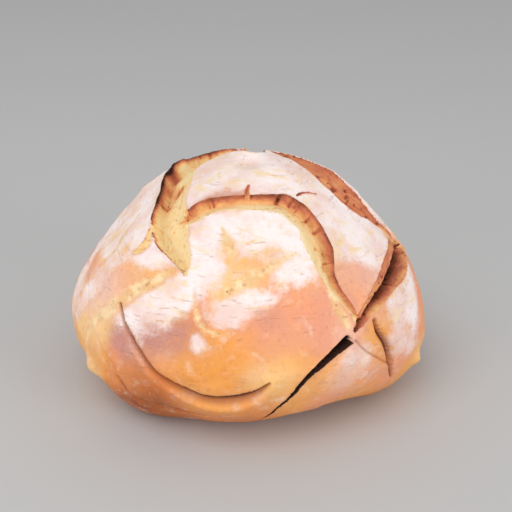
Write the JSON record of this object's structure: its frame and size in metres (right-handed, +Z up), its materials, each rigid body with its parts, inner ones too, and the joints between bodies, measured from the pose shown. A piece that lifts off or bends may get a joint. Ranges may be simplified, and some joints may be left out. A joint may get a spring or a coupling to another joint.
{
  "type": "sourdough loaf",
  "caption": "Round crusty free-standing bread loaf with a floured, deeply torn crust and a small flat base, for setting on a table, board or shelf.",
  "frame": {"origin": "under the middle of the loaf's bounding box, on its flat base", "axes": "+Z up from the base to the crown; X along the widest side; -Y towards the front, where the long fold and the slanting slit are"},
  "size_m": [0.23, 0.214, 0.153],
  "materials": {
    "crust": null
  },
  "bodies": {
    "root": {"loaf": "crust"}
  },
  "joints": []
}
